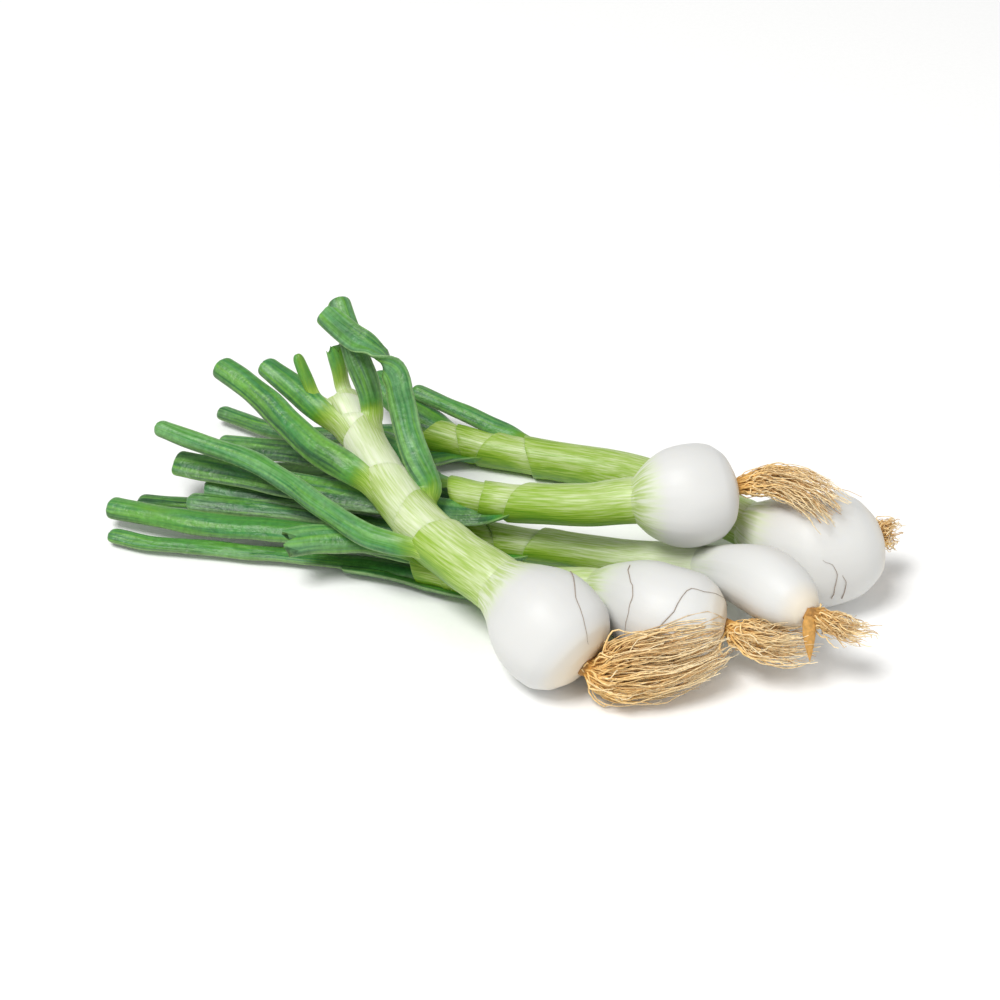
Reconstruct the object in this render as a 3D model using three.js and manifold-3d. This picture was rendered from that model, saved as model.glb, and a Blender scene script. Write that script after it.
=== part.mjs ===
// Bunch of five large-bulbed spring onions, lying in a loose pile.
// Lengths are in millimetres. Z = 0 is the surface that the pile lies on, +Z is up, +X runs
// towards the bulbs, and the origin is the middle of the pile's footprint.
import * as THREE from 'three';
import { mergeVertices } from 'three/addons/utils/BufferGeometryUtils.js';
import Module from 'manifold-3d';

const wasm = await Module();
wasm.setup();

// Clearance between two pieces that touch
const GAP = 0.3;
// How deep the foot of a leaf stands inside the sheath or bulb around it
const SOCKET_DEPTH = 9;
// How much thinner than the stem a leaf is inside that socket, and how far past the collar
// around it the leaf has widened to the stem
const SHEATH_WALL = 1.6;
const WIDENING = 5;
// Part of a blade's length over which its round sheath flattens
const FLATTENING = 0.2;
// Roots: thickness, and the least height of a root's middle over the surface
const ROOT_THICKNESS = 1.2;
const ROOT_LIFT = 0.8;
const PLATE_THICKNESS = 3;

const BULB_SIDES = 18;
const LEAF_SIDES = 8;
const CORE_SIDES = 8;
const ROOT_SIDES = 3;
const ROOT_STEPS = 4;

// Bulb outlines from root plate to neck: [part of the length, part of the widest radius].
// The outline goes on to the neck at length 1.
const ROUND_OUTLINE = [
  [0, 0.2], [0.02, 0.48], [0.09, 0.75], [0.2, 0.93], [0.32, 0.99], [0.42, 1], [0.54, 0.97],
  [0.66, 0.88], [0.78, 0.74], [0.89, 0.61],
];
const BALL_OUTLINE = [
  [0, 0.2], [0.02, 0.46], [0.09, 0.73], [0.2, 0.91], [0.32, 0.98], [0.45, 1], [0.56, 0.985],
  [0.67, 0.935], [0.78, 0.83], [0.89, 0.67],
];
const LONG_OUTLINE = [
  [0, 0.22], [0.03, 0.44], [0.12, 0.72], [0.24, 0.92], [0.36, 1], [0.5, 0.98], [0.64, 0.88],
  [0.8, 0.73], [0.9, 0.65],
];

// The five onions. A stem is the middle line from the root plate (point 0) through the bulb to
// the youngest leaf, and the neck and collars are places on it, counted in its points.
// A leaf is listed from the outermost to the youngest. Its collar is where the blade leaves
// the stem, and its path is the middle line of the blade after that.
const ONIONS = [
  {
    name: 'front',
    stem: [
      [37, -89, 16], [23, -75, 22.6], [13, -63, 25], [4, -54, 26.5], [-14, -37, 28.5],
      [-31, -18, 31.5], [-44, 5, 35.5], [-54, 25, 40], [-62, 40, 46],
    ],
    bulb: { radius: 23, neckAt: 3, outline: ROUND_OUTLINE },
    stemRadius: [12, 8.5],
    leaves: [
      {
        collar: 4.4, width: [10, 8], thickness: 6, roll: [-50, -40],
        path: [[-37, -34, 31], [-50, -28, 31], [-66, -14, 32], [-84, 4, 33], [-102, 19, 34],
          [-121, 28, 35], [-144, 39, 37]],
      },
      {
        collar: 5.1, width: [12, 11], thickness: 5, roll: [-20, -40],
        path: [[-25, -4, 38], [-30, 3, 46], [-34, 12, 54], [-37, 20, 63], [-39, 26, 71],
          [-45, 33, 77], [-58, 44, 80], [-71, 60, 82]],
      },
      {
        collar: 5.9, width: [14, 11], thickness: 6, roll: [-50, -30],
        path: [[-59, 5, 40], [-73, 15, 43], [-85, 28, 46], [-96, 40, 50], [-107, 50, 53],
          [-118, 59, 56]],
      },
      {
        collar: 7.1, width: [12, 10], thickness: 5, roll: [-20, -20],
        path: [[-50, 33, 51], [-52, 37, 61], [-56, 43, 69], [-59, 50, 75], [-62, 56, 81],
          [-65, 63, 87]],
      },
      {
        collar: 7.4, width: [13, 10], thickness: 6, roll: [-50, -20],
        path: [[-73, 33, 50], [-81, 41, 53], [-89, 48, 56], [-98, 55, 59]],
      },
      {
        collar: 7.7, width: [9, 6], thickness: 5, roll: [-40, 0],
        path: [[-74, 38, 52], [-78, 42, 60], [-82, 47, 69]],
      },
      {
        collar: 8, width: [9, 5], thickness: 4, roll: [0, 0],
        path: [[-63, 44, 55], [-64, 46, 62], [-66, 50, 70]],
      },
    ],
    roots: {
      count: 26, spread: [4, 11, 13, 12, 8], flatten: 1.15, plate: 4.5,
      path: [[37, -89, 16], [44, -92, 13], [56, -91, 13], [70, -88, 14], [84, -84, 16],
        [92, -81, 17]],
    },
  },
  {
    name: 'round',
    stem: [
      [98, -15.6, 46], [79, -21, 46], [67, -22, 45.2], [58.5, -21.3, 44], [41, -18, 39],
      [20, -11, 34], [0, -2, 29], [-17, 8, 25],
    ],
    bulb: { radius: 20.9, neckAt: 3, outline: BALL_OUTLINE },
    stemRadius: [9.5, 7],
    leaves: [
      {
        collar: 5.4, width: [13, 12], thickness: 6, roll: [-20, -30],
        path: [[-4, -6, 25], [-20, -5, 25], [-38, 0, 25], [-64, 8, 24], [-86, 17, 22],
          [-108, 27, 20], [-138, 38, 18]],
      },
      {
        collar: 6.2, width: [13, 10], thickness: 5, roll: [-20, -30],
        path: [[-6, 9, 19], [-19, 17, 18], [-33, 22, 21], [-48, 26, 25], [-69, 34, 24],
          [-88, 42, 21], [-121, 54, 16]],
      },
      {
        collar: 6.8, width: [12, 9], thickness: 5, roll: [0, -20],
        path: [[-24, 15, 27], [-33, 27, 28], [-41, 38, 28], [-50, 47, 26]],
      },
    ],
    roots: {
      count: 15, spread: [3.5, 7, 10, 12], flatten: 0.6, plate: 4,
      path: [[98, -15.6, 46], [108, -17, 50], [119, -23, 54], [130, -31, 53], [138, -39, 50]],
    },
  },
  {
    name: 'low',
    stem: [
      [92, -71, 20], [69, -65, 20], [55, -53, 18.5], [43, -44, 15], [20, -37, 11],
      [-8, -29, 8.5], [-29, -21, 8.5],
    ],
    bulb: { radius: 20.4, neckAt: 3, outline: ROUND_OUTLINE },
    stemRadius: [9.5, 7],
    leaves: [
      {
        collar: 4.4, width: [10, 9], thickness: 5, roll: [20, 20],
        path: [[-10, -34, 5], [-24, -28, 4], [-44, -20, 4], [-62, -16, 4]],
      },
      {
        collar: 5.2, width: [9, 7], thickness: 6, roll: [0, -20],
        path: [[-36, -19, 5], [-59, -13, 4], [-80, -9, 4], [-102, -6, 4], [-123, -3, 4],
          [-145, 0, 4], [-163, 6, 4]],
      },
      {
        collar: 5.5, width: [13, 10], thickness: 6, roll: [0, -30],
        path: [[-38, -15, 13], [-63, -7, 14], [-80, -3, 13], [-101, 1, 12], [-123, 5, 11],
          [-145, 12, 10], [-165, 19, 9]],
      },
      {
        collar: 6, width: [13, 13], thickness: 5, roll: [-10, -30],
        path: [[-39, -17, 17], [-54, -18, 21], [-69, -19, 22], [-83, -22, 23]],
      },
    ],
    roots: {
      count: 15, spread: [3, 8, 11, 11], flatten: 0.8, plate: 4,
      path: [[92, -71, 20], [101, -76, 19], [113, -79, 19], [127, -78, 19]],
    },
  },
  {
    name: 'long',
    stem: [
      [123, -78, 33], [108, -56, 30], [98, -45, 26], [87, -33, 19], [70, -24, 14],
      [54, -18, 11], [29, -9, 8.5], [4, -3, 8], [-13, 1, 8],
    ],
    bulb: { radius: 14.2, neckAt: 3, outline: LONG_OUTLINE },
    stemRadius: [8.5, 7],
    leaves: [
      {
        collar: 6.4, width: [10, 9], thickness: 6, roll: [0, 0],
        path: [[4, -9, 5], [-13, -5, 4], [-39, 4, 4], [-60, 9, 4], [-82, 15, 4],
          [-104, 21, 4], [-131, 26, 4], [-154, 29, 4]],
      },
      {
        collar: 7.2, width: [13, 13], thickness: 5, roll: [0, -20],
        path: [[-3, 9, 11], [-20, 11, 13], [-38, 12, 15], [-60, 15, 15], [-81, 20, 14],
          [-103, 25, 13], [-124, 31, 12]],
      },
      {
        collar: 8, width: [11, 10], thickness: 5, roll: [0, -10],
        path: [[-25, 1, 10], [-47, 6, 10], [-77, 13, 10], [-108, 18, 10], [-131, 22, 10]],
      },
    ],
    roots: {
      count: 11, spread: [2.5, 4, 6, 7], flatten: 0.8, plate: 3.5,
      path: [[123, -78, 33], [130, -79, 30], [139, -80, 26], [147, -79, 23]],
    },
  },
  {
    name: 'back',
    stem: [
      [157, -19, 25], [134, -28, 22.9], [121, -24, 24], [107, -11, 23], [91, 9, 18],
      [65, 37, 11], [44, 48, 8.5], [17, 56, 8], [-5, 63, 8], [-25, 71, 8],
    ],
    bulb: { radius: 23.3, neckAt: 3, outline: ROUND_OUTLINE },
    stemRadius: [10, 7.8],
    leaves: [
      {
        collar: 7, width: [10, 8], thickness: 6, roll: [-20, -20],
        path: [[4, 70, 13], [-14, 79, 17], [-27, 86, 19], [-36, 90, 21]],
      },
      {
        collar: 7.8, width: [12, 12], thickness: 6, roll: [0, -10],
        path: [[-18, 60, 5], [-36, 57, 4], [-58, 52, 4], [-76, 49, 4], [-96, 49, 4],
          [-113, 50, 4]],
      },
      {
        collar: 8.4, width: [14, 13], thickness: 6, roll: [-20, -20],
        path: [[-25, 76, 12], [-39, 84, 16], [-49, 94, 19], [-55, 102, 21]],
      },
      {
        collar: 9, width: [11, 8], thickness: 6, roll: [0, -20],
        path: [[-41, 75, 8], [-68, 74, 7], [-91, 77, 6], [-105, 82, 6], [-115, 88, 6],
          [-126, 94, 6]],
      },
    ],
    roots: {
      count: 11, spread: [3, 5, 6, 6], flatten: 1, plate: 4.5,
      path: [[157, -19, 25], [161, -18, 24], [164, -17, 23], [167, -16, 22]],
    },
  },
];

// One closed body from a row of rings. Each ring has a centre, the two half-axes of its
// ellipse as vectors, and the rings run forward along the piece.
function loft(rings, sides) {
  const rows = rings.length - 1;
  const geometry = new THREE.CylinderGeometry(1, 1, 1, sides, rows);
  const position = geometry.attributes.position;
  const point = new THREE.Vector3();
  for (let i = 0; i < position.count; i += 1) {
    const ring = rings[Math.round((0.5 - position.getY(i)) * rows)];
    point.copy(ring.centre);
    point.addScaledVector(ring.wide, position.getX(i));
    point.addScaledVector(ring.thick, position.getZ(i));
    position.setXYZ(i, point.x, point.y, point.z);
  }
  geometry.deleteAttribute('normal');
  geometry.deleteAttribute('uv');
  return mergeVertices(geometry, 1e-4);
}

function toSolid(geometry) {
  const mesh = new wasm.Mesh({
    numProp: 3,
    vertProperties: new Float32Array(geometry.attributes.position.array),
    triVerts: new Uint32Array(geometry.index.array),
  });
  return new wasm.Manifold(mesh);
}

function toGeometry(solid) {
  const mesh = solid.getMesh();
  const geometry = new THREE.BufferGeometry();
  geometry.setAttribute('position', new THREE.BufferAttribute(mesh.vertProperties, 3));
  geometry.setIndex(new THREE.BufferAttribute(mesh.triVerts, 1));
  geometry.computeVertexNormals();
  return geometry;
}

const toVector = ([x, y, z]) => new THREE.Vector3(x, y, z);
const smooth = (t) => THREE.MathUtils.smoothstep(t, 0, 1);
const mix = THREE.MathUtils.lerp;

// A ring across a line: its wide half-axis lies level, then turns by the roll in degrees.
function ringAt(centre, forward, halfWidth, halfThickness, roll = 0) {
  const side = new THREE.Vector3(0, 0, 1).cross(forward).normalize();
  side.applyAxisAngle(forward, THREE.MathUtils.degToRad(roll));
  const up = forward.clone().cross(side);
  return {
    centre: centre.clone(),
    wide: side.multiplyScalar(halfWidth),
    thick: up.multiplyScalar(halfThickness),
  };
}

// The same rings made larger all round, to cut clearance into a neighbour.
function grow(rings, amount) {
  const grown = rings.map((ring) => ({
    centre: ring.centre.clone(),
    wide: ring.wide.clone().setLength(ring.wide.length() + amount),
    thick: ring.thick.clone().setLength(ring.thick.length() + amount),
  }));
  const first = grown[0].centre;
  const last = grown.at(-1).centre;
  const backward = rings[0].centre.clone().sub(rings[1].centre).setLength(amount);
  const forward = rings.at(-1).centre.clone().sub(rings.at(-2).centre).setLength(amount);
  first.add(backward);
  last.add(forward);
  return grown;
}

function stemCurve(onion) {
  return new THREE.CatmullRomCurve3(onion.stem.map(toVector));
}

function stemPoint(onion, place) {
  return stemCurve(onion).getPoint(place / (onion.stem.length - 1));
}

function stemRadiusAt(onion, place) {
  const { neckAt } = onion.bulb;
  const [atNeck, atEnd] = onion.stemRadius;
  return mix(atNeck, atEnd, (place - neckAt) / (onion.stem.length - 1 - neckAt));
}

// The bulb: rings along the first stretch of the stem, with the outline's radii.
function bulbRings(onion) {
  const { radius, neckAt, outline } = onion.bulb;
  const line = new THREE.CatmullRomCurve3(onion.stem.slice(0, neckAt + 1).map(toVector));
  const stations = [...outline, [1, onion.stemRadius[0] / radius]];
  return stations.map(([along, part]) => ringAt(
    line.getPointAt(along),
    line.getTangentAt(along),
    part * radius,
    part * radius,
  ));
}

// A leaf: a round sheath up the stem from its socket to its collar, then a blade that leaves
// the stem on one side, flattens and ends blunt.
function leafRings(onion, leaf, foot) {
  const stem = stemCurve(onion);
  const stemEnd = onion.stem.length - 1;
  const perPlace = stem.getLength() / stemEnd;
  const sheath = [
    [foot - SOCKET_DEPTH / perPlace, SHEATH_WALL],
    [foot, SHEATH_WALL],
    [foot + WIDENING / perPlace, 0],
    [leaf.collar, 0],
  ].map(([place, wall]) => {
    const radius = stemRadiusAt(onion, place) - wall;
    const forward = stem.getTangent(place / stemEnd);
    return ringAt(stemPoint(onion, place), forward, radius, radius);
  });
  const below = stemPoint(onion, leaf.collar - 0.5);
  const collar = stemPoint(onion, leaf.collar);
  const line = new THREE.CatmullRomCurve3([below, collar, ...leaf.path.map(toVector)]);
  const last = line.points.length - 1;
  const blade = [];
  for (let k = 1.5; k <= last; k += 0.5) {
    const along = (k - 1) / (last - 1);
    const flat = smooth(along / FLATTENING);
    const radius = stemRadiusAt(onion, leaf.collar);
    const blunt = k === last ? 0.7 : 1;
    const halfWidth = 0.5 * mix(leaf.width[0], leaf.width[1], along);
    blade.push(ringAt(
      line.getPoint(k / last),
      line.getTangent(k / last),
      blunt * mix(radius, halfWidth, flat),
      blunt * mix(radius, 0.5 * leaf.thickness, flat),
      flat * mix(leaf.roll[0], leaf.roll[1], smooth(along)),
    ));
  }
  return [...sheath, ...blade];
}

// Repeatable random numbers from 0 to 1.
function seededRandom(seed) {
  let state = seed;
  return () => {
    state = (state * 1103515245 + 12345) % 2147483648;
    return state / 2147483648;
  };
}

// Moves a point out of the bulbs that a root would run into, and up from the surface.
function keepClear(point) {
  for (const onion of ONIONS) {
    const middle = stemPoint(onion, 1);
    const reach = onion.bulb.radius + ROOT_THICKNESS;
    const away = point.clone().sub(middle);
    if (away.length() < reach) {
      point.copy(middle).add(away.setLength(reach));
    }
  }
  point.z = Math.max(point.z, ROOT_LIFT);
  return point;
}

// A tuft: a root plate with a short core, and roots that fan out along the tuft's path.
function rootTuft(onion, seed) {
  const { count, spread, flatten, plate, path } = onion.roots;
  const random = seededRandom(seed);
  const line = new THREE.CatmullRomCurve3(path.map(toVector));
  const core = [
    [0, 1, -PLATE_THICKNESS], [0, 1, 0], [0.12, 0.7, 0], [0.3, 0.3, 0],
  ].map(([along, part, shift]) => {
    const forward = line.getTangent(along);
    const centre = line.getPoint(along).addScaledVector(forward, shift);
    return ringAt(centre, forward, part * plate, part * plate);
  });
  const pieces = [toSolid(loft(core, CORE_SIDES))];
  for (let i = 0; i < count; i += 1) {
    const angle = 2 * Math.PI * random();
    const reach = Math.sqrt(random());
    const length = mix(0.65, 1, random());
    const wave = 2 * Math.PI * random();
    const sway = mix(0.4, 1.2, random());
    const centres = [];
    for (let k = 0; k <= ROOT_STEPS; k += 1) {
      const along = length * k / ROOT_STEPS;
      const forward = line.getTangent(along);
      const frame = ringAt(line.getPoint(along), forward, 1, 1);
      const stage = along * (spread.length - 1);
      const low = Math.min(Math.floor(stage), spread.length - 2);
      const width = k === 0 ? 0.7 * plate : mix(spread[low], spread[low + 1], stage - low);
      const swing = sway * Math.sin(wave + 5 * along);
      const level = flatten + (1 - flatten) * (k === 0 ? 1 : 0);
      const point = frame.centre;
      point.addScaledVector(frame.wide, width * reach * Math.cos(angle) + swing);
      point.addScaledVector(frame.thick, level * width * reach * Math.sin(angle));
      centres.push(k < 2 ? point : keepClear(point));
    }
    const half = 0.5 * ROOT_THICKNESS;
    const rings = centres.map((centre, k) => {
      const before = centres[Math.max(k - 1, 0)];
      const after = centres[Math.min(k + 1, ROOT_STEPS)];
      const forward = after.clone().sub(before).normalize();
      return ringAt(centre, forward, half, half);
    });
    pieces.push(toSolid(loft(rings, ROOT_SIDES)));
  }
  return wasm.Manifold.union(pieces);
}

// Every piece in the order in which it gives way: leaves from the youngest outwards, then
// bulbs, then roots. A later piece is cut clear of the earlier ones.
function listPieces() {
  const leaves = [];
  const bulbs = [];
  const roots = [];
  ONIONS.forEach((onion, index) => {
    const feet = [onion.bulb.neckAt, ...onion.leaves.map((leaf) => leaf.collar)];
    const own = onion.leaves.map((leaf, k) => {
      const rings = leafRings(onion, leaf, feet[k]);
      return {
        name: `${onion.name}_leaf_${k + 1}`,
        finish: 'leaf',
        solid: toSolid(loft(rings, LEAF_SIDES)),
        clearance: toSolid(loft(grow(rings, GAP), LEAF_SIDES)),
      };
    });
    leaves.push(...own.reverse());
    const rings = bulbRings(onion);
    bulbs.push({
      name: `${onion.name}_bulb`,
      finish: 'bulb',
      solid: toSolid(loft(rings, BULB_SIDES)),
      clearance: toSolid(loft(grow(rings, GAP), BULB_SIDES)),
    });
    const tuft = rootTuft(onion, 7 + index);
    roots.push({
      name: `${onion.name}_roots`,
      finish: 'root',
      solid: tuft,
      clearance: tuft,
    });
  });
  return [...leaves, ...bulbs, ...roots];
}

// Everything under the surface, to give what lies on it small flat spots.
function underground() {
  const depth = 40;
  const box = new THREE.BoxGeometry(500, 400, depth).toNonIndexed();
  box.translate(0, 0, -0.5 * depth);
  box.deleteAttribute('normal');
  box.deleteAttribute('uv');
  return toSolid(mergeVertices(box));
}

function largestBody(solid) {
  const bodies = solid.decompose();
  return bodies.reduce((best, body) => (body.volume() > best.volume() ? body : best));
}

const FINISHES = {
  bulb: new THREE.MeshStandardMaterial({ color: '#efeee9', roughness: 0.4, metalness: 0 }),
  leaf: new THREE.MeshStandardMaterial({ color: '#4b8b4f', roughness: 0.5, metalness: 0 }),
  root: new THREE.MeshStandardMaterial({ color: '#c8a878', roughness: 0.8, metalness: 0 }),
};

const bunch = new THREE.Group();
const ground = underground();
const pieces = listPieces();
pieces.forEach((piece, index) => {
  const earlier = pieces.slice(0, index).map((other) => other.clearance);
  let solid = piece.solid.subtract(ground);
  if (earlier.length > 0) {
    solid = solid.subtract(wasm.Manifold.union(earlier));
  }
  const mesh = new THREE.Mesh(toGeometry(largestBody(solid)), FINISHES[piece.finish].clone());
  mesh.name = piece.name;
  bunch.add(mesh);
});

export default bunch;
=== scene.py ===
import math
import random

import bmesh
import bpy
from mathutils import Matrix, Vector, noise
from mathutils.bvhtree import BVHTree


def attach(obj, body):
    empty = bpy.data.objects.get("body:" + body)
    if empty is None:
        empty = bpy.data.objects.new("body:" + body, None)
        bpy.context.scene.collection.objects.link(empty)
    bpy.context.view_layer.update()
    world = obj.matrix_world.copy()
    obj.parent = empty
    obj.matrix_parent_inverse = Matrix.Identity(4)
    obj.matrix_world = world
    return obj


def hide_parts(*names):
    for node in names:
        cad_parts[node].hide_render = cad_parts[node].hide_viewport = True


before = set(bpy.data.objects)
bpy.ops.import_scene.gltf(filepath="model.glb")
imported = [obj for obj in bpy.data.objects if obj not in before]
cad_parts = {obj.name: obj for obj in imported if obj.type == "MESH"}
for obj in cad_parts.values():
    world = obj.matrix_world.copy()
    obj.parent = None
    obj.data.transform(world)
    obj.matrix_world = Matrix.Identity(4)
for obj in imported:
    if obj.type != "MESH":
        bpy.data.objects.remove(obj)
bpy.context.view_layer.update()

# A loose pile of five large-bulbed spring onions: white bulbs, straw roots, green leaves.
# Places and lengths are in millimetres, as on the frame, and turned to metres by MM.
MM = 0.001

# Sheaths. A sheath's foot stands this deep in the sheath around it.
SOCKET_DEPTH = 6.0
# It is this much thinner there, and makes up this part of the difference over this length.
SHEATH_STEP = 0.8
STEP_EASED = 0.6
WIDENING = 9.0
# The outermost sheath starts this much thinner, inside the bulb's neck.
FIRST_STEP = 0.7
# Its mouth slants up towards its blade, wavers, and flares a little over this length.
MOUTH_SLANT = 4.0
MOUTH_WAVER = 0.8
MOUTH_FLARE = 0.5
MOUTH_REACH = 12.0
# Rings of its rounded rim and its inside: lift, inset, and how near to an edge
MOUTH_RIM = ((0.3, 0.15, 1), (0.4, 0.45, 1), (0.1, 0.8, 1), (-2.5, 1.4, 0))
# Fine ribs round a sheath: height, number, and how much its own seed turns them
SHEATH_RIBS = ((0.07, 17, 1), (0.05, 29, 0))
SHEATH_SWELL = 0.3

# Greens run from 0, white, to 1, the deepest green. A sheath, and the start of
# a blade, stay below this.
SHEATH_GREENEST = 0.6
# A sheath is this part as green at its foot, where it lay inside the sheath around it.
FOOT_GREEN = 0.65
FOOT_REACH = 14.0
# A blade's green runs down its side of the sheath this strongly and this far.
STAIN = 0.2
STAIN_REACH = 26.0
# How much greener and darker a sheath is painted on its underside: painted shade
UNDERSIDE_PAINTED_SHADE = 0.8
# A blade starts this much greener than its stem, and is fully green after this length.
START_GREEN = 0.25
GREENING_REACH = 18.0
# A blade keeps this part of its green where it faces up, and all of it underneath: painted light on
# its top and painted shade underneath.
LIT_TOP_GREEN = 0.86
# Uneven patches of green along a blade: their strength and length
PATCH = 0.14
PATCH_LENGTH = 22.0
# Wax near a blade's tip
TIP_BLOOM = 0.15
TIP_BLOOM_REACH = 25.0

# Blades. A blade starts this deep inside its sheath's mouth.
BLADE_ROOT = 11.0
# It turns off the sheath's wall, comes free, thickens and widens over these lengths.
TURN_REACH = 34.0
FREE_REACH = 15.0
THICKENING = 20.0
BROADENING = 22.0
# Its section: half thickness at its root, and farther out as a part of the leaf's thickness,
# then the depth of its channel as a part of half its width, and its veins
ROOT_HALF = 1.2
HALF_PART = 0.36
CHANNEL = 0.16
BLADE_RIBS = ((0.04, 14, 1),)
# Waves of its edges and creases of its faces: height and length
WAVE = (0.5, 16.0)
CREASE = (0.5, 9.0)
# The rounded tip, how blunt it is (2 is a half circle), and the length of a torn one
TIP_ROUNDING = 4.0
TIP_BLUNTNESS = 2.6
TEAR_REACH = 7.0
LEAF_SIDES = 40
LEAF_ROW = 1.8

# Bulbs. The skin runs on this far under the first sheath, and this much inside it.
SKIN_RUN_ON = 3.0
SKIN_INSET = 0.7
# Faint ribs of the scales below, as on a sheath
BULB_RIBS = ((0.12, 9, 1), (0.08, 23, 2))
BULB_SWELL = 0.5
BULB_SIDES = 72
BULB_ROWS = 56

# Roots: sizes to draw from
ROOT_LENGTHS = (0.45, 1.0)
ROOT_THICKNESSES = (0.45, 0.6, 0.75, 0.9)
ROOT_CURLS = (2.0, 6.0)
# Part of the roots that are short and thick and lie across the others
CROSSING_SHARE = 0.1
# Single roots that have strayed over a bulb
STRAY_THICKNESS = 0.4
STRAY_LIFT = 0.3
ROOT_SIDES = 5
ROOT_ROWS = 16
# Rings of the root plate: place along its line, and part of its radius
PLATE_RINGS = ((-2.5, 0.7), (-0.5, 0.85), (0.6, 0.8), (1.6, 0.6), (2.2, 0.3))
PLATE_SIDES = 20

# Patterns that follow the leaf, in waves to a millimetre across it. Along it they are
# GRAIN_STRETCH times as long.
VEIN_SCALE = 1.3
BAND_SCALE = 0.3
RUB_SCALE = 0.4
GRAIN_STRETCH = 12.0
# The grain's ring has the radius of a stem.
GRAIN_RADIUS = 10.0
# Patterns in waves to a metre
BLISTER_SCALE = 450.0
FIBRE_SCALE = 700.0
PAPER_SCALE = 400.0

# A bulb's outline from root plate to neck: part of its length, and part of its radius
ROUND_OUTLINE = [
    (0, 0.2), (0.02, 0.48), (0.09, 0.75), (0.2, 0.93), (0.32, 0.99), (0.42, 1), (0.54, 0.97),
    (0.66, 0.88), (0.78, 0.74), (0.89, 0.61),
]
BALL_OUTLINE = [
    (0, 0.2), (0.02, 0.46), (0.09, 0.73), (0.2, 0.91), (0.32, 0.98), (0.45, 1), (0.56, 0.985),
    (0.67, 0.935), (0.78, 0.83), (0.89, 0.67),
]
LONG_OUTLINE = [
    (0, 0.22), (0.03, 0.44), (0.12, 0.72), (0.24, 0.92), (0.36, 1), (0.5, 0.98), (0.64, 0.88),
    (0.8, 0.73), (0.9, 0.65),
]

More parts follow.
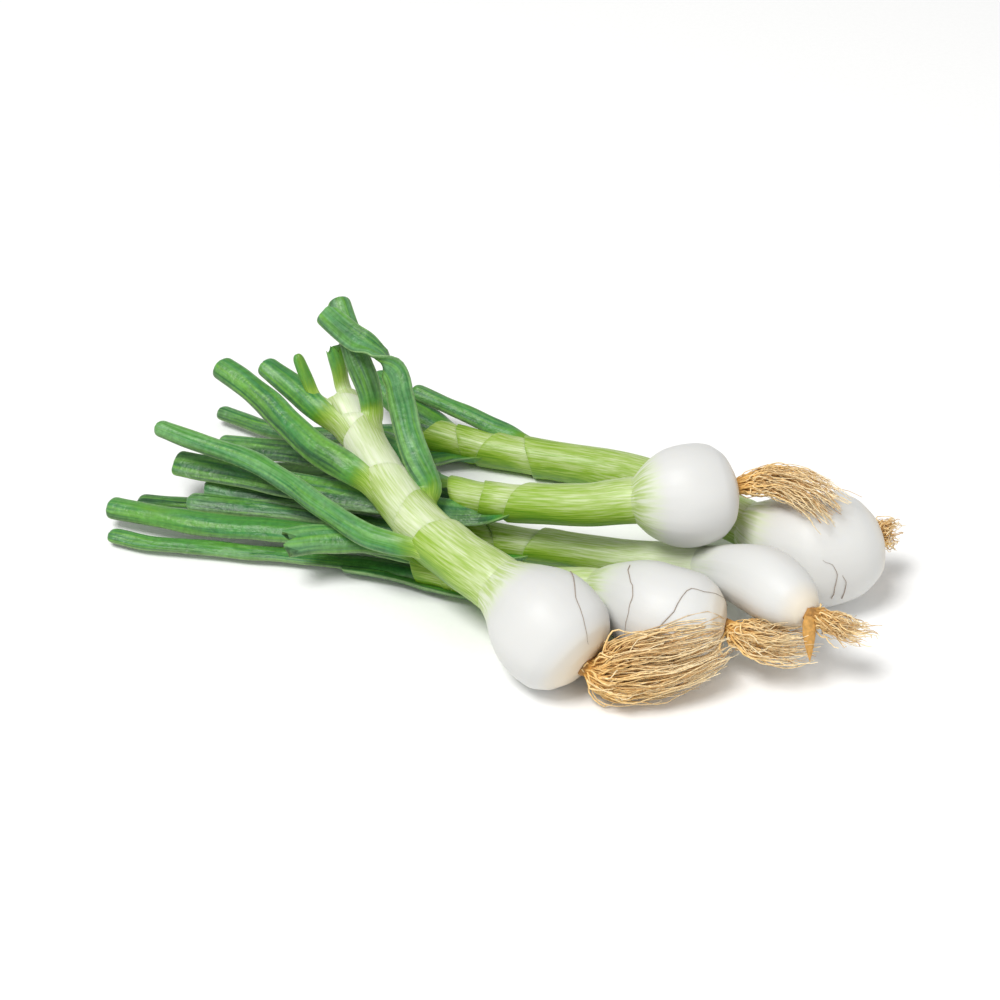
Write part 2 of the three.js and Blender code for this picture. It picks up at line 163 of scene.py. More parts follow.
# Each onion, as on the frame: the middle line of its stem from the root plate, its bulb, its
# leaves from the outermost to the youngest, and its roots. The neck and collars are places on
# the stem, counted in its points. green is how green the stem is at the neck and at its end.
# Of a leaf, width is that of its blade at its start and its tip, roll turns the blade's face
# in degrees along the way, and bloom is how much bluish wax it carries. deepen multiplies its
# green, so a younger, yellower leaf has less than 1. torn is the height of a torn end.
# Of roots, spread is the tuft's half width along its line, and flatten its height over width.
ONIONS = [
    {
        "name": "front",
        "stem": [(37, -89, 16), (23, -75, 22.6), (13, -63, 25), (4, -54, 26.5),
                 (-14, -37, 28.5), (-31, -18, 31.5), (-44, 5, 35.5), (-54, 25, 40),
                 (-62, 40, 46)],
        "radius": 23, "outline": ROUND_OUTLINE, "stem_radius": (12, 8.5), "green": (0.28, 0.08),
        "leaves": [
            {"collar": 4.4, "width": (10, 8), "thick": 6, "roll": (-50, -40), "bloom": 0.45,
             "deepen": 0.93,
             "path": [(-37, -34, 31), (-50, -28, 31), (-66, -14, 32), (-84, 4, 33),
                      (-102, 19, 34), (-121, 28, 35), (-144, 39, 37)]},
            {"collar": 5.1, "width": (12, 11), "thick": 5, "bloom": 0.5,
             "roll": (-20, -20, -20, -20, -20, -35, -165, -210, -215, -215),
             "path": [(-25, -4, 38), (-30, 3, 46), (-34, 12, 54), (-37, 20, 63),
                      (-39, 26, 71), (-45, 33, 77), (-58, 44, 80), (-71, 60, 82)]},
            {"collar": 5.9, "width": (14, 11), "thick": 6, "roll": (-50, -30), "bloom": 0.12,
             "path": [(-59, 5, 40), (-73, 15, 43), (-85, 28, 46), (-96, 40, 50),
                      (-107, 50, 53), (-118, 59, 56)]},
            {"collar": 7.1, "width": (12, 10), "thick": 5, "roll": (-20, -20), "bloom": 0.45,
             "deepen": 1.08,
             "path": [(-50, 33, 51), (-52, 37, 61), (-56, 43, 69), (-59, 50, 75),
                      (-62, 56, 81), (-65, 63, 87)]},
            {"collar": 7.4, "width": (13, 10), "thick": 6, "roll": (-50, -20), "bloom": 0.2,
             "path": [(-73, 33, 50), (-81, 41, 53), (-89, 48, 56), (-98, 55, 59)]},
            {"collar": 8, "width": (8, 4.5), "thick": 5, "roll": (-40, -30),
             "deepen": 0.8, "path": [(-74, 38, 52), (-78, 42, 60), (-82, 47, 69)]},
            {"collar": 8, "width": (9, 8), "thick": 4, "roll": (0, 0),
             "deepen": 0.76, "torn": 4, "path": [(-63, 44, 55), (-64, 46, 62), (-66, 50, 70)]},
        ],
        "roots": {"count": 420, "spread": (4, 11, 13, 12, 8), "flatten": 1.15, "plate": 4.5,
                  "path": [(37, -89, 16), (44, -91, 14), (56, -89, 15), (70, -86, 16),
                           (84, -82, 18), (92, -79, 19)]},
    },
    {
        "name": "round",
        "stem": [(98, -15.6, 46), (79, -21, 46), (67, -22, 45.2), (58.5, -21.3, 44),
                 (41, -18, 39), (20, -11, 34), (0, -2, 29), (-17, 8, 25)],
        "radius": 20.9, "outline": BALL_OUTLINE, "stem_radius": (9.5, 7), "green": (0.32, 0.42),
        "leaves": [
            {"collar": 5.4, "width": (13, 12), "thick": 6, "roll": (-20, -30), "bloom": 0.15,
             "deepen": 1.1,
             "path": [(-4, -6, 25), (-20, -5, 25), (-38, 0, 25), (-64, 8, 24), (-86, 17, 22),
                      (-108, 27, 20), (-138, 38, 18)]},
            {"collar": 6.2, "width": (13, 10), "thick": 5, "roll": (-20, -30), "bloom": 0.2,
             "deepen": 1.12,
             "path": [(-6, 9, 19), (-19, 17, 18), (-33, 22, 21), (-48, 26, 25),
                      (-69, 34, 24), (-88, 42, 21), (-121, 54, 16)]},
            {"collar": 6.8, "width": (12, 9), "thick": 5, "roll": (0, -20), "bloom": 0.1,
             "path": [(-24, 15, 27), (-33, 27, 28), (-41, 38, 28), (-50, 47, 26)]},
        ],
        "roots": {"count": 260, "spread": (3.5, 7, 10, 12), "flatten": 0.6, "plate": 4,
                  "path": [(98, -15.6, 46), (108, -17, 50), (119, -23, 54), (130, -31, 53),
                           (138, -39, 50)]},
    },
    {
        "name": "low",
        "stem": [(92, -71, 20), (69, -65, 20), (55, -53, 18.5), (43, -44, 15), (20, -37, 11),
                 (-8, -29, 8.5), (-29, -21, 8.5)],
        "radius": 20.4, "outline": ROUND_OUTLINE, "stem_radius": (9.5, 7), "green": (0.25, 0.5),
        "leaves": [
            {"collar": 4.4, "width": (10, 9), "thick": 5, "roll": (20, 20),
             "path": [(-10, -34, 5), (-24, -28, 4), (-44, -20, 4), (-62, -16, 4)]},
            {"collar": 5.2, "width": (9, 7), "thick": 6, "roll": (0, -20), "bloom": 0.1,
             "deepen": 0.96,
             "path": [(-36, -19, 5), (-59, -13, 4), (-80, -9, 4), (-102, -6, 4),
                      (-123, -3, 4), (-145, 0, 4), (-163, 6, 4)]},
            {"collar": 5.5, "width": (13, 10), "thick": 6, "roll": (0, -30), "bloom": 0.1,
             "deepen": 0.92,
             "path": [(-38, -15, 13), (-63, -7, 14), (-80, -3, 13), (-101, 1, 12),
                      (-123, 5, 11), (-145, 12, 10), (-165, 19, 9)]},
            {"collar": 6, "width": (13, 13), "thick": 5, "roll": (-10, -30), "bloom": 0.35,
             "torn": 7, "path": [(-39, -17, 17), (-54, -18, 21), (-69, -19, 22),
                                 (-83, -22, 23)]},
        ],
        "roots": {"count": 280, "spread": (3, 8, 11, 11), "flatten": 0.8, "plate": 4,
                  "path": [(92, -71, 20), (101, -76, 19), (113, -79, 19), (127, -78, 19)]},
    },
    {
        "name": "long",
        "stem": [(123, -78, 33), (108, -56, 30), (98, -45, 26), (87, -33, 19), (70, -24, 14),
                 (54, -18, 11), (29, -9, 8.5), (4, -3, 8), (-13, 1, 8)],
        "radius": 14.2, "outline": LONG_OUTLINE, "stem_radius": (8.5, 7), "green": (0.1, 0.42),
        "leaves": [
            {"collar": 6.4, "width": (10, 9), "thick": 6, "roll": (0, 0),
             "deepen": 1.12,
             "path": [(4, -9, 5), (-13, -5, 4), (-39, 4, 4), (-60, 9, 4), (-82, 15, 4),
                      (-104, 21, 4), (-131, 26, 4), (-154, 29, 4)]},
            {"collar": 7.2, "width": (13, 13), "thick": 5, "roll": (0, -20), "bloom": 0.4,
             "deepen": 1.1,
             "path": [(-3, 9, 11), (-20, 11, 13), (-38, 12, 15), (-60, 15, 15),
                      (-81, 20, 14), (-103, 25, 13), (-124, 31, 12)]},
            {"collar": 8, "width": (11, 10), "thick": 5, "roll": (0, -10), "bloom": 0.3,
             "deepen": 1.1,
             "path": [(-25, 1, 10), (-47, 6, 10), (-77, 13, 10), (-108, 18, 10),
                      (-131, 22, 10)]},
        ],
        "roots": {"count": 170, "spread": (2.5, 4, 6, 7), "flatten": 0.8, "plate": 3.5,
                  "path": [(123, -78, 33), (130, -79, 30), (139, -80, 26), (147, -79, 23)]},
    },
    {
        "name": "back",
        "stem": [(157, -19, 25), (134, -28, 22.9), (121, -24, 24), (107, -11, 23),
                 (91, 9, 18), (65, 37, 11), (44, 48, 8.5), (17, 56, 8), (-5, 63, 8),
                 (-25, 71, 8)],
        "radius": 23.3, "outline": ROUND_OUTLINE, "stem_radius": (10, 7.8),
        "green": (0.3, 0.42),
        "leaves": [
            {"collar": 7, "width": (10, 8), "thick": 6, "roll": (-20, -20), "bloom": 0.2,
             "path": [(4, 70, 13), (-14, 79, 17), (-27, 86, 19), (-36, 90, 21)]},
            {"collar": 7.8, "width": (12, 12), "thick": 6, "roll": (0, -10), "bloom": 0.1,
             "deepen": 1.14,
             "path": [(-18, 60, 5), (-36, 57, 4), (-58, 52, 4), (-76, 49, 4), (-96, 49, 4),
                      (-113, 50, 4)]},
            {"collar": 8.4, "width": (14, 13), "thick": 6, "roll": (-20, -20), "bloom": 0.1,
             "path": [(-25, 76, 12), (-39, 84, 16), (-49, 94, 19), (-55, 102, 21)]},
            {"collar": 9, "width": (11, 8), "thick": 6, "roll": (0, -20), "bloom": 0.2,
             "deepen": 1.08,
             "path": [(-41, 75, 8), (-68, 74, 7), (-91, 77, 6), (-105, 82, 6),
                      (-115, 88, 6), (-126, 94, 6)]},
        ],
        "roots": {"count": 180, "spread": (3, 5, 6, 6), "flatten": 1, "plate": 4.5,
                  "path": [(157, -19, 25), (161, -18, 24), (164, -17, 23), (167, -16, 22)]},
    },
]
# The point of every stem that is its bulb's neck
NECK = 3

# What every point of a piece tells its material, besides its place in the grain. Bulb: green,
# then how near it is to the root plate. Leaf: green, wax, and how near it is to an edge.
# Root: how far along it is, how dark, and how grey.
DATA_NAMES = ("green", "tone", "edge")

# Single roots that lie over a bulb, as directions from its middle that each one passes
STRAY_ROOTS = {
    "front": [
        [(0.35, 0.59, 0.72), (0.41, -0.23, 0.88), (0.54, -0.59, 0.6), (0.61, -0.74, 0.3)],
    ],
    "low": [
        [(-0.62, 0.54, 0.57), (-0.65, -0.15, 0.75), (-0.75, -0.44, 0.5), (-0.81, -0.59, -0.02)],
        [(-0.33, -0.89, 0.3), (0.04, -0.69, 0.72), (0.36, -0.3, 0.88), (0.7, -0.23, 0.68),
         (0.98, 0.04, 0.21)],
    ],
    "back": [
        [(0.14, -0.94, -0.32), (0.15, -0.99, 0.06), (0.13, -0.93, 0.35), (-0.09, -0.86, 0.51)],
        [(0.31, -0.87, -0.38), (0.33, -0.94, 0.03), (0.25, -0.94, 0.24)],
    ],
}


def linear(hex_value):
    """An sRGB hex colour as linear red, green, blue and alpha."""
    def channel(c):
        return c / 12.92 if c <= 0.04045 else ((c + 0.055) / 1.055) ** 2.4
    parts = [int(hex_value[i:i + 2], 16) / 255 for i in (1, 3, 5)]
    return (*[channel(c) for c in parts], 1.0)


def mix(a, b, t):
    """The value that lies a part t of the way from a to b."""
    return a + (b - a) * t


def smooth(t):
    """A part of a way, eased at both ends and kept from 0 to 1."""
    t = min(max(t, 0.0), 1.0)
    return t * t * (3 - 2 * t)


def step_in(values, along):
    """The two values around a part of the way through a list, and the way between them."""
    stage = along * (len(values) - 1)
    low = min(int(stage), len(values) - 2)
    return values[low], values[low + 1], stage - low


def spline(points, place):
    """The point at a place, counted in points, on the centripetal curve through the points."""
    last = len(points) - 1
    k = min(max(int(place), 0), last - 1)
    t = place - k
    p1, p2 = points[k], points[k + 1]
    p0 = points[k - 1] if k > 0 else 2 * p1 - p2
    p3 = points[k + 2] if k + 2 <= last else 2 * p2 - p1
    d0 = (p1 - p0).length ** 0.5
    d1 = (p2 - p1).length ** 0.5
    d2 = (p3 - p2).length ** 0.5
    m1 = ((p1 - p0) / d0 - (p2 - p0) / (d0 + d1) + (p2 - p1) / d1) * d1
    m2 = ((p2 - p1) / d1 - (p3 - p1) / (d1 + d2) + (p3 - p2) / d2) * d1
    a = 2 * t ** 3 - 3 * t ** 2 + 1
    b = t ** 3 - 2 * t ** 2 + t
    c = -2 * t ** 3 + 3 * t ** 2
    d = t ** 3 - t ** 2
    return p1 * a + m1 * b + p2 * c + m2 * d


def direction(points, place):
    """Which way the curve through the points runs at a place."""
    step = 0.01
    return (spline(points, place + step) - spline(points, place - step)).normalized()


def even_places(points, start, end, step):
    """Places from start to end that are about a step apart along the curve."""
    fine = 24
    count = max(int((end - start) * fine), 2)
    places = [start + (end - start) * i / count for i in range(count + 1)]
    spots = [spline(points, p) for p in places]
    total = [0.0]
    for a, b in zip(spots, spots[1:]):
        total.append(total[-1] + (b - a).length)
    rows = max(int(round(total[-1] / step)), 2)
    result = []
    k = 0
    for row in range(rows + 1):
        wanted = total[-1] * row / rows
        while k < count - 1 and total[k + 1] < wanted:
            k += 1
        span = max(total[k + 1] - total[k], 1e-9)
        result.append(mix(places[k], places[k + 1], (wanted - total[k]) / span))
    return result


def across(forward, roll=0.0):
    """The wide and the thick direction of a section: level, then turned by the roll."""
    side = Vector((0, 0, 1)).cross(forward).normalized()
    side = Matrix.Rotation(math.radians(roll), 3, forward) @ side
    return side, forward.cross(side)


def ribs(angle, waves, seed):
    """How far fine lengthwise ribs stand out."""
    return sum(height * math.sin(angle * number + turn * seed) for height, number, turn in waves)


TEMPLATES = {}


def ring_order(point):
    """A number that sorts points of the template by their ring, and then round it."""
    return 10 * round(2 * point.z) + math.atan2(point.y, point.x)


def tube_template(sides, rows):
    """A straight closed tube of radius 1 whose rings lie at whole heights from 0 to rows."""
    bm = bmesh.new()
    bmesh.ops.create_circle(bm, cap_ends=True, segments=sides, radius=1.0)
    for _ in range(rows):
        top = max(bm.faces, key=lambda f: f.calc_center_median().z)
        made = bmesh.ops.extrude_face_region(bm, geom=[top])["geom"]
        moved = [v for v in made if isinstance(v, bmesh.types.BMVert)]
        bmesh.ops.translate(bm, verts=moved, vec=(0, 0, 1))
        if len(bm.faces) > sides + 2:
            bmesh.ops.delete(bm, geom=[top], context="FACES_ONLY")
    bmesh.ops.recalc_face_normals(bm, faces=bm.faces)
    # extruding leaves no fixed order, and roots find a bulb's skin by the order of its faces
    bm.verts.sort(key=lambda v: ring_order(v.co))
    bm.faces.sort(key=lambda f: ring_order(f.calc_center_median()))
    mesh = bpy.data.meshes.new("tube_template")
    bm.to_mesh(mesh)
    bm.free()
    return mesh


def add_tube(bm, sides, rings, values, shape):
    """Adds a closed tube: shape(row, angle) gives a vertex its place in millimetres, and
    values(row, angle) its grain and the rest of its data."""
    key = (sides, rings)
    if key not in TEMPLATES:
        TEMPLATES[key] = tube_template(sides, rings - 1)
    first = len(bm.verts)
    bm.from_mesh(TEMPLATES[key])
    bm.verts.ensure_lookup_table()
    grains = bm.verts.layers.float_vector["grain"]
    floats = [bm.verts.layers.float[name] for name in DATA_NAMES]
    for index in range(first, len(bm.verts)):
        vert = bm.verts[index]
        row = int(round(vert.co.z))
        angle = math.atan2(vert.co.y, vert.co.x)
        grain, *data = values(row, angle)
        vert[grains] = grain
        for layer, value in zip(floats, data):
            vert[layer] = value
        vert.co = shape(row, angle) * MM


def new_mesh():
    """An empty mesh with a layer for each kind of data."""
    bm = bmesh.new()
    bm.verts.layers.float_vector.new("grain")
    for name in DATA_NAMES:
        bm.verts.layers.float.new(name)
    return bm


def finish_piece(bm, name, material, nodes):
    """Makes the piece an object that rides on the pile and stands for its CAD node."""
    # nothing reaches below the surface that the pile lies on
    for vert in bm.verts:
        vert.co.z = max(vert.co.z, 0.0)
    # only the flat caps of a tube have sharp edges
    for face in bm.faces:
        face.smooth = len(face.verts) == 4
    for edge in bm.edges:
        edge.smooth = all(face.smooth for face in edge.link_faces)
    mesh = bpy.data.meshes.new(name)
    bm.to_mesh(mesh)
    bm.free()
    piece = bpy.data.objects.new(name, mesh)
    bpy.context.scene.collection.objects.link(piece)
    mesh.materials.append(material)
    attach(piece, "root")
    if nodes:
        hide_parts(*nodes)


def per_place(onion):
    """How many millimetres of stem there are to one place."""
    stem = onion["line"]
    return sum((b - a).length for a, b in zip(stem, stem[1:])) / (len(stem) - 1)


def stem_radius(onion, place):
    """The stem's radius, which thins evenly from the neck to its end."""
    at_neck, at_end = onion["stem_radius"]
    last = len(onion["stem"]) - 1
    return mix(at_neck, at_end, max(place - NECK, 0) / (last - NECK))


def stem_green(onion, place):
    """How green the stem is, eased from the neck to its end."""
    at_neck, at_end = onion["green"]
    last = len(onion["stem"]) - 1
    return mix(at_neck, at_end, smooth((place - NECK) / (last - NECK)))


def outline_radius(onion, along):
    """The bulb's radius at a part of its length, smooth through the outline's points."""
    stations = [*onion["outline"], (1, onion["stem_radius"][0] / onion["radius"])]
    points = [Vector((a, r, 0)) for a, r in stations]
    k = 0
    while k < len(points) - 2 and along > points[k + 1].x:
        k += 1
    t = (along - points[k].x) / (points[k + 1].x - points[k].x)
    return spline(points, k + min(max(t, 0), 1)).y * onion["radius"]


def bulb_stations(onion, count):
    """Centres, forward directions and radii along the bulb, from root plate to neck."""
    line = onion["line"][:NECK + 1]
    places = even_places(line, 0, NECK, 0.5)
    whole = (line[-1] - line[0]).normalized()
    result = []
    for row in range(count + 1):
        # rows lie closer at the root plate, where the outline turns fastest
        along = (row / count) ** 1.5
        place = mix(*step_in(places, along))
        centre = spline(line, place)
        # square to the stem at both ends and to the whole bulb between them, so that the rings
        # of a bent bulb don't cross
        forward = whole.lerp(direction(line, place), smooth(abs(2 * along - 1))).normalized()
        result.append((centre, forward, outline_radius(onion, along), along))
    return result


def grain_at(angle, length, seed):
    """Coordinates that run round a stem in millimetres, and slowly along it."""
    return Vector((math.cos(angle) * GRAIN_RADIUS + seed, math.sin(angle) * GRAIN_RADIUS, length))


def make_bulb(onion, material):
    """The white bulb, closed at its root plate and inside the first sheath."""
    bm = new_mesh()
    stations = bulb_stations(onion, BULB_ROWS)
    # past the neck the skin runs on into the first sheath, a little below its surface
    centre, forward, radius, _ = stations[-1]
    stations.append((centre + SKIN_RUN_ON * forward, forward, radius - SKIN_INSET, 1.06))
    seed = 40 * ONIONS.index(onion)
    at_neck = onion["green"][0]

    def shape(row, angle):
        centre, forward, radius, along = stations[row]
        side, up = across(forward)
        out = side * math.cos(angle) + up * math.sin(angle)
        # ribs are strongest towards the neck and fade out at both ends
        rib = ribs(angle, BULB_RIBS, seed)
        swell = BULB_SWELL * noise.noise(out * 1.5 + Vector((seed, 0, along)))
        fade = smooth(along * 4) * smooth((1 - along) * 8)
        return centre + out * (radius + (rib * along + swell) * fade)

    def values(row, angle):
        # green comes up in the last 30% before the neck
        along = stations[row][3]
        green = 0.75 * at_neck * smooth((along - 0.7) / 0.3)
        return grain_at(angle, (along - 1) * 4, seed), green, 1 - smooth(along / 0.16), 0

    add_tube(bm, BULB_SIDES, len(stations), values, shape)
    bm.normal_update()
    onion["tree"] = BVHTree.FromBMesh(bm)
    name = onion["name"] + "_bulb"
    finish_piece(bm, name + "_skin", material, [name])


def departure(onion, leaf):
    """Which way the blade leaves the stem, square to it, and how far its path starts from it."""
    forward = direction(onion["line"], leaf["collar"])
    away = Vector(leaf["path"][0]) - spline(onion["line"], leaf["collar"])
    away -= forward * away.dot(forward)
    return away.normalized(), away.length


def add_sheath(bm, onion, leaf, foot, seed):
    """The round sheath from its socket to its slanting mouth."""
    stem = onion["line"]
    unit = per_place(onion)
    first_leaf = foot == NECK
    away, _ = departure(onion, leaf)
    side, up = across(direction(stem, leaf["collar"]))
    toward = math.atan2(away.dot(up), away.dot(side))
    places = even_places(stem, foot - SOCKET_DEPTH / unit, leaf["collar"], LEAF_ROW)
    rows = []
    for place in places:
        past = (place - foot) * unit
        to_mouth = (leaf["collar"] - place) * unit
        step = SHEATH_STEP * (1 - STEP_EASED * smooth(past / WIDENING))
        if first_leaf:
            step = FIRST_STEP * (1 - smooth((past + SOCKET_DEPTH) / SOCKET_DEPTH))
        near = smooth(1 - to_mouth / MOUTH_REACH)
        radius = stem_radius(onion, place) - step + MOUTH_FLARE * near
        green = stem_green(onion, place)
        shown = past + (SOCKET_DEPTH if first_leaf else 0)
        green *= mix(FOOT_GREEN, 1, smooth(shown / FOOT_REACH))
        centre = spline(stem, place)
        stain = smooth(1 - to_mouth / STAIN_REACH)
        rise = past / GRAIN_STRETCH
        rows.append((centre, direction(stem, place), radius, green, near, stain, rise, 0))
    centre, forward, radius, green, _, _, rise, _ = rows[-1]
    for lift, inset, edge in MOUTH_RIM:
        rows.append((centre + forward * lift, forward, radius - inset, green, 1, 1, rise, edge))

    def shape(row, angle):
        centre, forward, radius, _, near, _, rise, _ = rows[row]
        side, up = across(forward)
        around = Vector((math.cos(angle), math.sin(angle), seed))
        vein = ribs(angle, SHEATH_RIBS, seed)
        slant = MOUTH_SLANT * math.cos(angle - toward) * near
        slant += MOUTH_WAVER * near * noise.noise(around)
        swell = SHEATH_SWELL * noise.noise(around + Vector((0, 0, rise)))
        out = side * math.cos(angle) + up * math.sin(angle)
        return centre + out * (radius + vein + swell * (1 - near)) + forward * slant

    def values(row, angle):
        _, forward, _, green, _, stain, rise, edge = rows[row]
        facing = max(math.cos(angle - toward), 0)
        green += STAIN * stain * facing * facing
        # height is 1 where the sheath faces up, and -1 where it faces down. The sheath is painted
        # greener and darker where it faces down: painted shade.
        side, up = across(forward)
        height = (side * math.cos(angle) + up * math.sin(angle)).z
        green *= mix(1, 1 + UNDERSIDE_PAINTED_SHADE, smooth(0.5 - 0.8 * height))
        green = min(green, SHEATH_GREENEST)
        return grain_at(angle, rise, seed), green, 0, edge

    add_tube(bm, LEAF_SIDES, len(rows), values, shape)


def blade_line(onion, leaf):
    """The blade's middle line. It starts flat against the inside of its own sheath."""
    stem = onion["line"]
    unit = per_place(onion)
    away, reach = departure(onion, leaf)
    offset = min(stem_radius(onion, leaf["collar"]) - 1.2, 0.7 * reach)
    line = []
    # how far below the collar each of the first points is, and how far out from the wall
    for back, shift in ((BLADE_ROOT, -1.6), (4, -0.1), (-1.5, 0.8)):
        place = min(leaf["collar"] - back / unit, len(stem) - 1)
        line.append(spline(stem, place) + away * (offset + shift))
    return line + [Vector(p) for p in leaf["path"]]


def blade_rows(line):
    """Places along the blade with their lengths, closer together where the tip rounds off."""
    places = even_places(line, 0, len(line) - 1, LEAF_ROW)
    total = LEAF_ROW * (len(places) - 1)
    lengths = [LEAF_ROW * k for k in range(int((total - TIP_ROUNDING) / LEAF_ROW) + 1)]
    lengths += [total - TIP_ROUNDING * (1 - math.sin(math.radians(a))) for a in range(6, 90, 12)]
    rows = []
    for length in lengths:
        k = min(int(length / LEAF_ROW), len(places) - 2)
        rows.append((mix(places[k], places[k + 1], length / LEAF_ROW - k), length))
    return rows, total


def blade_frames(onion, leaf, line, rows, total):
    """Each row's centre, and its forward, wide and outer directions. The blade turns from
    lying flat against its sheath's wall to its own roll."""
    away, _ = departure(onion, leaf)
    first = direction(line, rows[0][0])
    # the rolled direction may point either way, so it is turned to match the sheath's wall
    start = across(first, leaf["roll"][0])[0]
    flip = 1 if start.dot(first.cross(away).normalized()) > 0 else -1
    frames = []
    for place, length in rows:
        forward = direction(line, place)
        along = max(length - BLADE_ROOT, 0) / (total - BLADE_ROOT)
        roll, next_roll, t = step_in(leaf["roll"], along)
        flat = forward.cross(away).normalized()
        wide = across(forward, mix(roll, next_roll, smooth(t)))[0]
        turned = smooth(length / TURN_REACH)
        wide = (flat * (1 - turned) + wide * flip * turned).normalized()
        wide = (wide - forward * wide.dot(forward)).normalized()
        frames.append((spline(line, place), forward, wide, wide.cross(forward)))
    return frames


def add_blade(bm, onion, leaf, seed):
    """A strap with a shallow channel on the face that looks towards the stem."""
    line = blade_line(onion, leaf)
    rows, total = blade_rows(line)
    frames = blade_frames(onion, leaf, line, rows, total)
    torn = leaf.get("torn", 0)

    def sizes(row):
        """Half the width, half the thickness, and the length out of the sheath."""
        out = max(rows[row][1] - BLADE_ROOT, 0)
        along = out / (total - BLADE_ROOT)
        tip = 0 if torn else max(1 - (total - rows[row][1]) / TIP_ROUNDING, 0)
        blunt = (1 - min(tip, 0.995) ** TIP_BLUNTNESS) ** (1 / TIP_BLUNTNESS)
        half = 0.5 * mix(*leaf["width"], along) * mix(0.8, 1, smooth(out / BROADENING)) * blunt
        thick = mix(ROOT_HALF, HALF_PART * leaf["thick"], smooth(out / THICKENING)) * blunt
        return half, thick, out

    def shape(row, angle):
        centre, forward, wide, outer = frames[row]
        half, thick, out = sizes(row)
        length = rows[row][1]
        # x runs over the width and y over the thickness, from -1 to 1
        x, y = math.cos(angle), -math.sin(angle)
        free = smooth(out / FREE_REACH)
        waver = noise.noise(Vector((seed, length / WAVE[1], x * 0.8)))
        wave = WAVE[0] * free * waver * (half / 5)
        crease = CREASE[0] * free * noise.noise(Vector((x * 2.5, length / CREASE[1], seed)))
        vein = ribs(angle, BLADE_RIBS, seed)
        point = centre + wide * (x * half + wave)
        point += outer * (y * thick * (1 - 0.25 * x * x) + vein + crease * (1 - x * x))
        point += outer * (CHANNEL * half * (0.4 - x * x) + wave * x * x)
        if torn:
            # the torn end: a row of uneven points
            ragged = abs((x * 1.1 + 0.3) % 1 - 0.5) * 2
            end = max(1 - (total - length) / TEAR_REACH, 0)
            point += forward * torn * (ragged - 0.6) * end
        return point

    def values(row, angle):
        _, _, wide, outer = frames[row]
        out = sizes(row)[2]
        length = rows[row][1]
        start = min(stem_green(onion, leaf["collar"]) + START_GREEN, SHEATH_GREENEST)
        green = mix(start, 1, smooth((out - 1) / GREENING_REACH)) * leaf.get("deepen", 1.0)
        # height is 1 where the blade faces up, and -1 where it faces down. The blade is painted
        # lighter where it faces up and darker where it faces down: painted light and shade.
        height = (wide * math.cos(angle) - outer * math.sin(angle)).z
        green *= mix(1, LIT_TOP_GREEN, smooth(0.15 + 0.9 * height))
        patch = noise.noise(Vector((length / PATCH_LENGTH, seed, math.cos(angle) * 0.6)))
        green = min(green + PATCH * patch * smooth(out / THICKENING), 1)
        wax = leaf.get("bloom", 0.0) * smooth(out / THICKENING)
        wax += TIP_BLOOM * smooth(1 - (total - length) / TIP_BLOOM_REACH)
        rim = abs(math.cos(angle)) ** 12 * smooth(out / 8)
        # its real wax is painted mostly on faces turned up, so the top is painted paler: painted
        # light
        return grain_at(angle, length / GRAIN_STRETCH, seed), green, wax * smooth(0.5 + height), rim

    add_tube(bm, LEAF_SIDES, len(rows), values, shape)


def make_leaf(onion, number, foot, material):
    """A leaf, grown as one: its sheath from its foot to its collar, and its blade."""
    leaf = onion["leaves"][number]
    seed = 40 * ONIONS.index(onion) + 7 * number
    bm = new_mesh()
    add_sheath(bm, onion, leaf, foot, seed)
    add_blade(bm, onion, leaf, seed)
    name = f"{onion['name']}_leaf_{number + 1}"
    finish_piece(bm, name + "_blade", material, [name])


def keep_clear(point, gap):
    """Moves a point of a root out of the bulbs, and up from the surface below the pile."""
    for onion in ONIONS:
        spot, normal, _, _ = onion["tree"].find_nearest(point * MM)
        if (point * MM - spot).dot(normal) < gap * MM:
            point = spot / MM + normal * gap
    point.z = max(point.z, gap)
    return point


def add_root(bm, points, thickness, tone, greying=0):
    """One root through its points, thinning to its tip. With greying at 1 it is greyer."""
    last = len(points) - 1
    frames = []
    for k, point in enumerate(points):
        forward = (points[min(k + 1, last)] - points[max(k - 1, 0)]).normalized()
        frames.append(across(forward))

    def shape(row, angle):
        side, up = frames[row]
        radius = 0.5 * thickness * mix(1, 0.35, row / last)
        return points[row] + (side * math.cos(angle) + up * math.sin(angle)) * radius

    def values(row, angle):
        return Vector((math.cos(angle), math.sin(angle), row * 0.4)), row / last, tone, greying

    add_tube(bm, ROOT_SIDES, len(points), values, shape)


def add_root_plate(bm, roots, line):
    """The low rough button where all roots start."""
    forward = direction(line, 0)
    side, up = across(forward)

    def shape(row, angle):
        shift, part = PLATE_RINGS[row]
        rough = 1 + 0.12 * math.sin(angle * 7 + row) + 0.1 * math.sin(angle * 4)
        out = side * math.cos(angle) + up * math.sin(angle)
        return line[0] + forward * shift + out * (part * rough * roots["plate"])

    def values(row, angle):
        return Vector((math.cos(angle), math.sin(angle), row)), 0, 0.9, 0

    add_tube(bm, PLATE_SIDES, len(PLATE_RINGS), values, shape)


def stray_root_points(onion, passes):
    """Points of a root that lies over the bulb, on its skin."""
    turns = [Vector(p).normalized() for p in passes]
    points = []
    for row in range(ROOT_ROWS):
        way = spline(turns, row / (ROOT_ROWS - 1) * (len(turns) - 1)).normalized()
        way = (way + 0.04 * noise.noise_vector(way * 6)).normalized()
        over = onion["line"][1] + way * onion["radius"]
        spot, normal, _, _ = onion["tree"].find_nearest(over * MM)
        points.append(spot / MM + normal * STRAY_LIFT)
    return points


